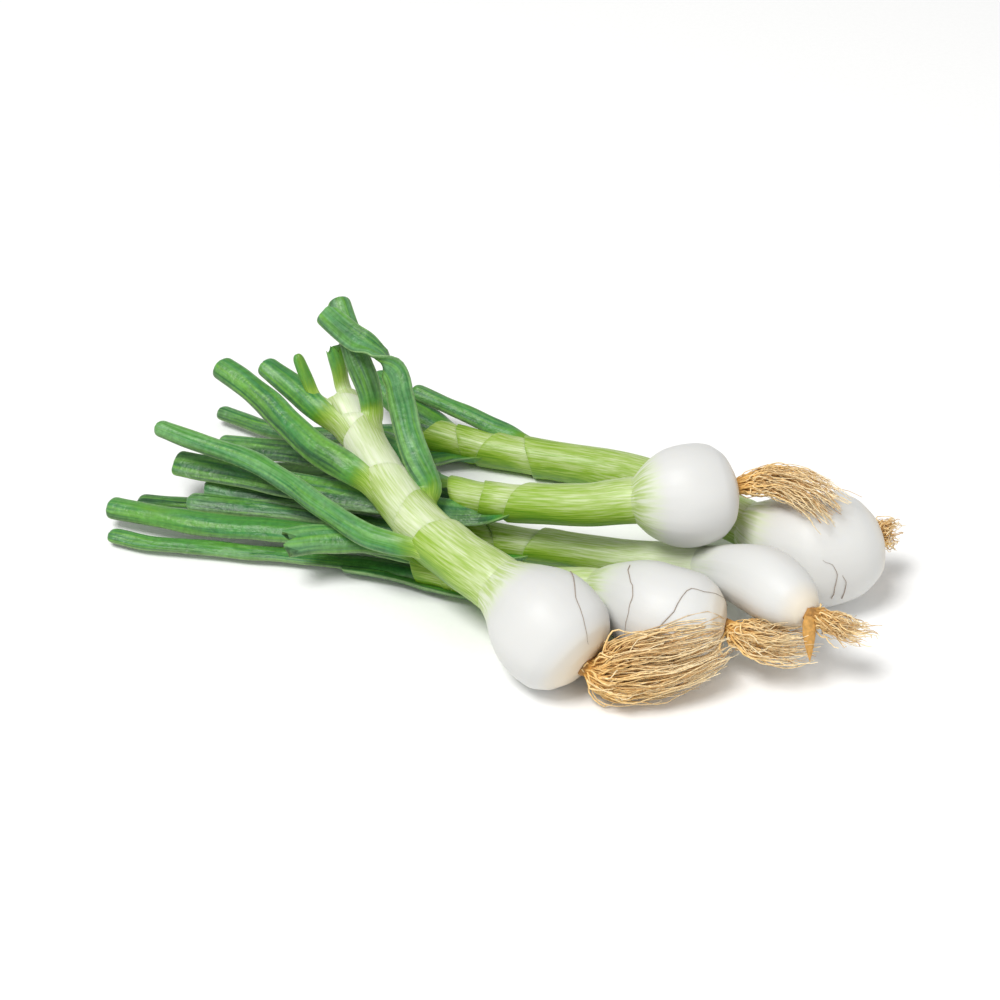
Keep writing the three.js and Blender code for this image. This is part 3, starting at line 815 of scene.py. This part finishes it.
def make_roots(onion, material):
    """The root tuft: its plate, its roots, and those that have strayed over the bulb."""
    roots = onion["roots"]
    draw = random.Random(onion["name"])
    line = [Vector(p) for p in roots["path"]]
    bm = new_mesh()
    add_root_plate(bm, roots, line)

    for _ in range(roots["count"]):
        # where it lies in the tuft's section, and how long, thick, curled and dark it is
        angle = draw.uniform(0, 2 * math.pi)
        reach = math.sqrt(draw.random())
        length = draw.uniform(*ROOT_LENGTHS)
        thickness = draw.choice(ROOT_THICKNESSES)
        phase = Vector([draw.uniform(0, 100) for _ in range(3)])
        curl = draw.uniform(*ROOT_CURLS)
        tone = draw.random()
        if draw.random() < CROSSING_SHARE:
            length, thickness, curl, tone = 0.6 * length, 1.0, 1.5 * curl, 0
        points = []
        for row in range(ROOT_ROWS):
            t = row / (ROOT_ROWS - 1)
            along = t * length
            place = along * (len(line) - 1)
            wide, thick = across(direction(line, place))
            # from the plate's own size and shape to the tuft's
            opened = smooth(t * 2.5)
            width = mix(0.8 * roots["plate"], mix(*step_in(roots["spread"], along)), opened)
            level = mix(1, roots["flatten"], opened)
            point = spline(line, place) + wide * (width * reach * math.cos(angle))
            point += thick * (level * width * reach * math.sin(angle))
            # one long curl, and short kinks
            point += noise.noise_vector(phase + Vector((2.2 * t, 0, 0))) * curl * smooth(t * 2)
            point += noise.noise_vector(phase + Vector((9 * t, 5, 0))) * 0.9 * smooth(t * 4)
            points.append(keep_clear(point, 0.6 * thickness))
        add_root(bm, points, thickness, tone)

    for passes in STRAY_ROOTS.get(onion["name"], []):
        add_root(bm, stray_root_points(onion, passes), STRAY_THICKNESS, 0.6, greying=1)
    name = onion["name"] + "_roots"
    finish_piece(bm, name + "_tuft", material, [name])


def make_dry_scale(material):
    """The pointed dry scale that hangs from the long onion's root plate."""
    bm = new_mesh()
    top = Vector((122, -80.5, 34))
    # how far each ring hangs down, and half its width
    rings = [(0, 1.6), (3, 2.5), (7, 2.5), (10, 1.9), (13, 1.1), (16, 0.15)]

    def shape(row, angle):
        drop, radius = rings[row]
        x, y = math.cos(angle), math.sin(angle)
        lean = Vector((0.06 * drop, -0.5 * drop, -drop))
        return top + lean + Vector((x * radius, y * radius * 0.3 + 0.12 * x * x * radius, 0))

    def values(row, angle):
        return Vector((math.cos(angle), math.sin(angle), row * 0.3)), 0.1, 0.8, 0

    add_tube(bm, 16, len(rings), values, shape)
    finish_piece(bm, "long_dry_scale", material, [])


def material_named(name):
    """A new material without nodes."""
    material = bpy.data.materials.new(name)
    material.use_nodes = True
    material.node_tree.nodes.clear()
    return material


def add_node(material, kind, settings=(), links=()):
    """Adds a node: settings are its values or its sockets' values, links feed its inputs."""
    tree = material.node_tree
    node = tree.nodes.new(kind)
    for key, value in dict(settings).items():
        if hasattr(node, str(key)):
            setattr(node, key, value)
        else:
            node.inputs[key].default_value = value
    for key, source in dict(links).items():
        tree.links.new(source, node.inputs[key])
    return node


def ramp_colours(ramp, stops):
    """Sets a ramp's stops, given as (position, sRGB hex value)."""
    elements = ramp.color_ramp.elements
    while len(elements) < len(stops):
        elements.new(0.5)
    for element, (position, colour) in zip(elements, stops):
        element.position = position
        element.color = linear(colour)


def streaks(material, scale, detail):
    """Noise that follows the grain: fine across a leaf, long along it."""
    grain = add_node(material, "ShaderNodeAttribute", {"attribute_name": "grain"})
    return add_node(material, "ShaderNodeTexNoise", {"Scale": scale, "Detail": detail},
                    {"Vector": grain.outputs["Vector"]})


def bulb_skin():
    """Fresh outer scale of a bulb, grown: a thin moist skin over white flesh. It gives a pearly
    white that light enters a little, with a soft broad gloss and green lines at the neck."""
    m = material_named("fresh_bulb_scale")
    green, tone = [add_node(m, "ShaderNodeAttribute", {"attribute_name": name})
                   for name in DATA_NAMES[:2]]
    # veins of 0.8 mm by 9 mm
    lines = streaks(m, VEIN_SCALE, 4)
    vein = add_node(m, "ShaderNodeMapRange", {"From Min": 0.38, "From Max": 0.62, "To Min": 0.5,
                                              "To Max": 1.6}, {"Value": lines.outputs["Fac"]})
    fac = add_node(m, "ShaderNodeMath", {"operation": "MULTIPLY"},
                   {0: green.outputs["Fac"], 1: vein.outputs["Result"]})
    ramp = add_node(m, "ShaderNodeValToRGB", {}, {"Fac": fac.outputs["Value"]})
    ramp_colours(ramp, [(0.0, "#d9d9d6"), (0.08, "#d6dcc6"), (0.25, "#b8ca88"), (0.5, "#90b23a")])
    # the skin is drier and yellower where it is drawn in at the root plate
    amount = add_node(m, "ShaderNodeMath", {"operation": "MULTIPLY", 1: 0.55},
                      {0: tone.outputs["Fac"]})
    warm = add_node(m, "ShaderNodeMix", {"data_type": "RGBA", "B": linear("#e6d3b0")},
                    {"Factor": amount.outputs["Value"], "A": ramp.outputs["Color"]})
    bump = add_node(m, "ShaderNodeBump", {"Strength": 0.25, "Distance": 0.0002},
                    {"Height": lines.outputs["Fac"]})
    shader = add_node(m, "ShaderNodeBsdfPrincipled",
                      {"Roughness": 0.48, "IOR": 1.42, "Subsurface Weight": 0.2,
                       "Subsurface Radius": (1.0, 0.9, 0.7), "Subsurface Scale": 0.003},
                      {"Base Color": warm.outputs["Result"], "Normal": bump.outputs["Normal"]})
    add_node(m, "ShaderNodeOutputMaterial", {}, {"Surface": shader.outputs["BSDF"]})
    return m


def leaf_surface():
    """Waxy onion leaf, grown: fine lengthwise veins, near white in the sheath and deep green
    in the blade, with a thin bluish bloom that is rubbed off in streaks. Its blisters are
    painted lighter on top and darker in between: painted light and shade."""
    m = material_named("waxy_onion_leaf")
    green, bloom, edge = [add_node(m, "ShaderNodeAttribute", {"attribute_name": name})
                          for name in DATA_NAMES]
    place = add_node(m, "ShaderNodeTexCoord")
    # veins of 0.8 mm by 9 mm, somewhat coarser than real ones, so that they show
    lines = streaks(m, VEIN_SCALE, 4)
    vein = add_node(m, "ShaderNodeMapRange", {"From Min": 0.36, "From Max": 0.64, "To Min": 0.66,
                                              "To Max": 1.38}, {"Value": lines.outputs["Fac"]})
    # veins show most in the pale sheath and fade as the blade turns green
    fade = add_node(m, "ShaderNodeMapRange", {"From Min": 0.3, "From Max": 0.75, "To Min": 0.0,
                                              "To Max": 0.95}, {"Value": green.outputs["Fac"]})
    calm = add_node(m, "ShaderNodeMix", {"data_type": "FLOAT", "B": 1.0},
                    {"Factor": fade.outputs["Result"], "A": vein.outputs["Result"]})
    fac = add_node(m, "ShaderNodeMath", {"operation": "MULTIPLY"},
                   {0: green.outputs["Fac"], 1: calm.outputs["Result"]})
    ramp = add_node(m, "ShaderNodeValToRGB", {}, {"Fac": fac.outputs["Value"]})
    ramp_colours(ramp, [(0.0, "#e9ecdc"), (0.12, "#d5dfba"), (0.28, "#b4c87f"),
                        (0.45, "#90b23a"), (0.62, "#689415"), (0.74, "#43882c"),
                        (0.86, "#2f7937"), (1.0, "#15481f")])
    # sheaths are smooth and even: bands and blisters come with the green of the blade
    blade = add_node(m, "ShaderNodeMapRange", {"From Min": 0.55, "From Max": 0.85},
                     {"Value": green.outputs["Fac"]})
    # bands of 3 mm by 40 mm where the blade is a lighter, yellower green
    bands = streaks(m, BAND_SCALE, 3)
    band = add_node(m, "ShaderNodeMapRange", {"From Min": 0.42, "From Max": 0.66, "To Min": 0.0,
                                              "To Max": 0.8}, {"Value": bands.outputs["Fac"]})
    yellower = add_node(m, "ShaderNodeMath", {"operation": "MULTIPLY"},
                        {0: band.outputs["Result"], 1: blade.outputs["Result"]})
    banded = add_node(m, "ShaderNodeMix", {"data_type": "RGBA", "B": linear("#68a22e")},
                      {"Factor": yellower.outputs["Value"], "A": ramp.outputs["Color"]})
    # wax that is rubbed off in streaks of 2.5 mm by 30 mm
    rubbed = streaks(m, RUB_SCALE, 3)
    wax = add_node(m, "ShaderNodeMapRange", {"From Min": 0.38, "From Max": 0.7, "To Min": 0.1,
                                             "To Max": 1.1}, {"Value": rubbed.outputs["Fac"]})
    amount = add_node(m, "ShaderNodeMath", {"operation": "MULTIPLY"},
                      {0: wax.outputs["Result"], 1: bloom.outputs["Fac"]})
    waxy = add_node(m, "ShaderNodeMix", {"data_type": "RGBA", "B": linear("#86b784")},
                    {"Factor": amount.outputs["Value"], "A": banded.outputs["Result"]})
    # blisters of about 2 mm, painted lighter on their tops and darker in between, following their
    # bump: painted light and shade
    flecks = add_node(m, "ShaderNodeTexNoise", {"Scale": BLISTER_SCALE, "Detail": 4.0},
                      {"Vector": place.outputs["Object"]})
    light = add_node(m, "ShaderNodeMapRange", {"From Min": 0.35, "From Max": 0.65, "To Min": 0.84,
                                               "To Max": 1.14}, {"Value": flecks.outputs["Fac"]})
    level = add_node(m, "ShaderNodeMix", {"data_type": "FLOAT", "A": 1.0},
                     {"Factor": blade.outputs["Result"], "B": light.outputs["Result"]})
    # a thin light line along the blade's edges and the mouth's rim
    rim = add_node(m, "ShaderNodeMath", {"operation": "MULTIPLY", 1: 0.32},
                   {0: edge.outputs["Fac"]})
    lit = add_node(m, "ShaderNodeMix", {"data_type": "RGBA", "B": linear("#bcd49a")},
                   {"Factor": rim.outputs["Value"], "A": waxy.outputs["Result"]})
    shade = add_node(m, "ShaderNodeHueSaturation", {},
                     {"Value": level.outputs["Result"], "Color": lit.outputs["Result"]})
    raised = add_node(m, "ShaderNodeMath", {"operation": "MULTIPLY"},
                      {0: flecks.outputs["Fac"], 1: blade.outputs["Result"]})
    blister = add_node(m, "ShaderNodeBump", {"Strength": 0.45, "Distance": 0.001},
                       {"Height": raised.outputs["Value"]})
    ridge = add_node(m, "ShaderNodeBump", {"Strength": 0.4, "Distance": 0.0003},
                     {"Height": lines.outputs["Fac"], "Normal": blister.outputs["Normal"]})
    shader = add_node(m, "ShaderNodeBsdfPrincipled",
                      {"Roughness": 0.38, "IOR": 1.48, "Subsurface Weight": 0.08,
                       "Subsurface Radius": (0.6, 1.0, 0.3), "Subsurface Scale": 0.002},
                      {"Base Color": shade.outputs["Color"], "Normal": ridge.outputs["Normal"]})
    add_node(m, "ShaderNodeOutputMaterial", {}, {"Surface": shader.outputs["BSDF"]})
    return m


def dry_root():
    """Dried onion root, grown: a matt fibre, orange brown where it leaves the plate and straw
    coloured to nearly white at its tip. Roots that lie over a bulb are greyer."""
    m = material_named("dry_root_fibre")
    along, tone, greying = [add_node(m, "ShaderNodeAttribute", {"attribute_name": name})
                         for name in DATA_NAMES]
    place = add_node(m, "ShaderNodeTexCoord")
    ramp = add_node(m, "ShaderNodeValToRGB", {}, {"Fac": along.outputs["Fac"]})
    ramp_colours(ramp, [(0.0, "#8f5f22"), (0.06, "#cf9843"), (0.25, "#f2ca80"), (1.0, "#fbe9c0")])
    amount = add_node(m, "ShaderNodeMath", {"operation": "POWER", 1: 3.0},
                      {0: tone.outputs["Fac"]})
    dark = add_node(m, "ShaderNodeMix", {"data_type": "RGBA", "B": linear("#b98848")},
                    {"Factor": amount.outputs["Value"], "A": ramp.outputs["Color"]})
    # roots that lie over a bulb are mixed to a grey brown
    greyed = add_node(m, "ShaderNodeMix", {"data_type": "RGBA", "B": linear("#a08f80")},
                      {"Factor": greying.outputs["Fac"], "A": dark.outputs["Result"]})
    # lighter and darker spots of about 1.5 mm
    fibre = add_node(m, "ShaderNodeTexNoise", {"Scale": FIBRE_SCALE, "Detail": 3.0},
                     {"Vector": place.outputs["Object"]})
    light = add_node(m, "ShaderNodeMapRange", {"From Min": 0.3, "From Max": 0.7, "To Min": 0.75,
                                               "To Max": 1.2}, {"Value": fibre.outputs["Fac"]})
    shade = add_node(m, "ShaderNodeHueSaturation", {},
                     {"Value": light.outputs["Result"], "Color": greyed.outputs["Result"]})
    shader = add_node(m, "ShaderNodeBsdfPrincipled", {"Roughness": 0.75, "IOR": 1.5},
                      {"Base Color": shade.outputs["Color"]})
    add_node(m, "ShaderNodeOutputMaterial", {}, {"Surface": shader.outputs["BSDF"]})
    return m


def studio_paper():
    """Pale paper floor, pressed: it gives a plain, nearly white ground."""
    m = material_named("pale_studio_paper")
    place = add_node(m, "ShaderNodeTexCoord")
    # clouding of 2.5 mm
    fibre = add_node(m, "ShaderNodeTexNoise", {"Scale": PAPER_SCALE},
                     {"Vector": place.outputs["Object"]})
    ramp = add_node(m, "ShaderNodeValToRGB", {}, {"Fac": fibre.outputs["Fac"]})
    ramp_colours(ramp, [(0.3, "#fafaf9"), (0.7, "#fcfcfb")])
    shader = add_node(m, "ShaderNodeBsdfPrincipled", {"Roughness": 0.9},
                      {"Base Color": ramp.outputs["Color"]})
    add_node(m, "ShaderNodeOutputMaterial", {}, {"Surface": shader.outputs["BSDF"]})
    return m


def make_stage():
    """A floor 6 m wide, just below the surface that the pile lies on."""
    bm = bmesh.new()
    bmesh.ops.create_grid(bm, x_segments=1, y_segments=1, size=3.0)
    bmesh.ops.translate(bm, verts=bm.verts, vec=(0, 0, -0.0003))
    mesh = bpy.data.meshes.new("studio_floor")
    bm.to_mesh(mesh)
    bm.free()
    floor = bpy.data.objects.new("studio_floor", mesh)
    bpy.context.scene.collection.objects.link(floor)
    mesh.materials.append(studio_paper())


def make_light(name, place, size, power):
    """A round soft light of this diameter in metres, aimed at the pile."""
    data = bpy.data.lights.new(name, "AREA")
    data.shape = "DISK"
    data.size = size
    data.energy = power
    lamp = bpy.data.objects.new(name, data)
    bpy.context.scene.collection.objects.link(lamp)
    lamp.location = place
    lamp.rotation_euler = (-Vector(place)).to_track_quat("-Z", "Y").to_euler()


def make_studio():
    """White light from all sides, one large soft light from the left and a weak low one."""
    world = bpy.data.worlds.new("soft_studio")
    bpy.context.scene.world = world
    world.use_nodes = True
    background = world.node_tree.nodes["Background"]
    background.inputs["Color"].default_value = linear("#ffffff")
    background.inputs["Strength"].default_value = 0.45
    make_light("window_softbox", (-1.1, -0.9, 3.0), 1.4, 86)
    make_light("low_fill", (0.9, -1.0, 0.7), 0.8, 3)


def make_camera():
    """The photograph's view: from the front, 38 degrees down, with a 70 mm lens."""
    distance = 0.855
    elevation = math.radians(38)
    target = Vector((4, 35, 0)) * MM
    back = Vector((0, -math.cos(elevation), math.sin(elevation)))
    data = bpy.data.cameras.new("photo_view")
    data.lens = 70
    data.sensor_width = 36
    camera = bpy.data.objects.new("photo_view", data)
    bpy.context.scene.collection.objects.link(camera)
    camera.location = target + back * distance
    camera.rotation_euler = (-back).to_track_quat("-Z", "Y").to_euler()
    bpy.context.scene.camera = camera


# The same roots and waves come in every run.
noise.seed_set(11)

make_camera()
make_studio()
make_stage()
# An onion's stem as vectors is kept as its line, and make_bulb keeps the bulb's skin as its tree,
# so that roots can be laid around every bulb.
for onion in ONIONS:
    onion["line"] = [Vector(p) for p in onion["stem"]]
skin = bulb_skin()
waxy_leaf = leaf_surface()
root_fibre = dry_root()
for onion in ONIONS:
    make_bulb(onion, skin)
for onion in ONIONS:
    feet = [NECK] + [leaf["collar"] for leaf in onion["leaves"]]
    for number in range(len(onion["leaves"])):
        make_leaf(onion, number, feet[number], waxy_leaf)
    make_roots(onion, root_fibre)
make_dry_scale(root_fibre)
for template in TEMPLATES.values():
    bpy.data.meshes.remove(template)
# Colours show as they are given, with no film look.
bpy.context.scene.view_settings.view_transform = "Standard"
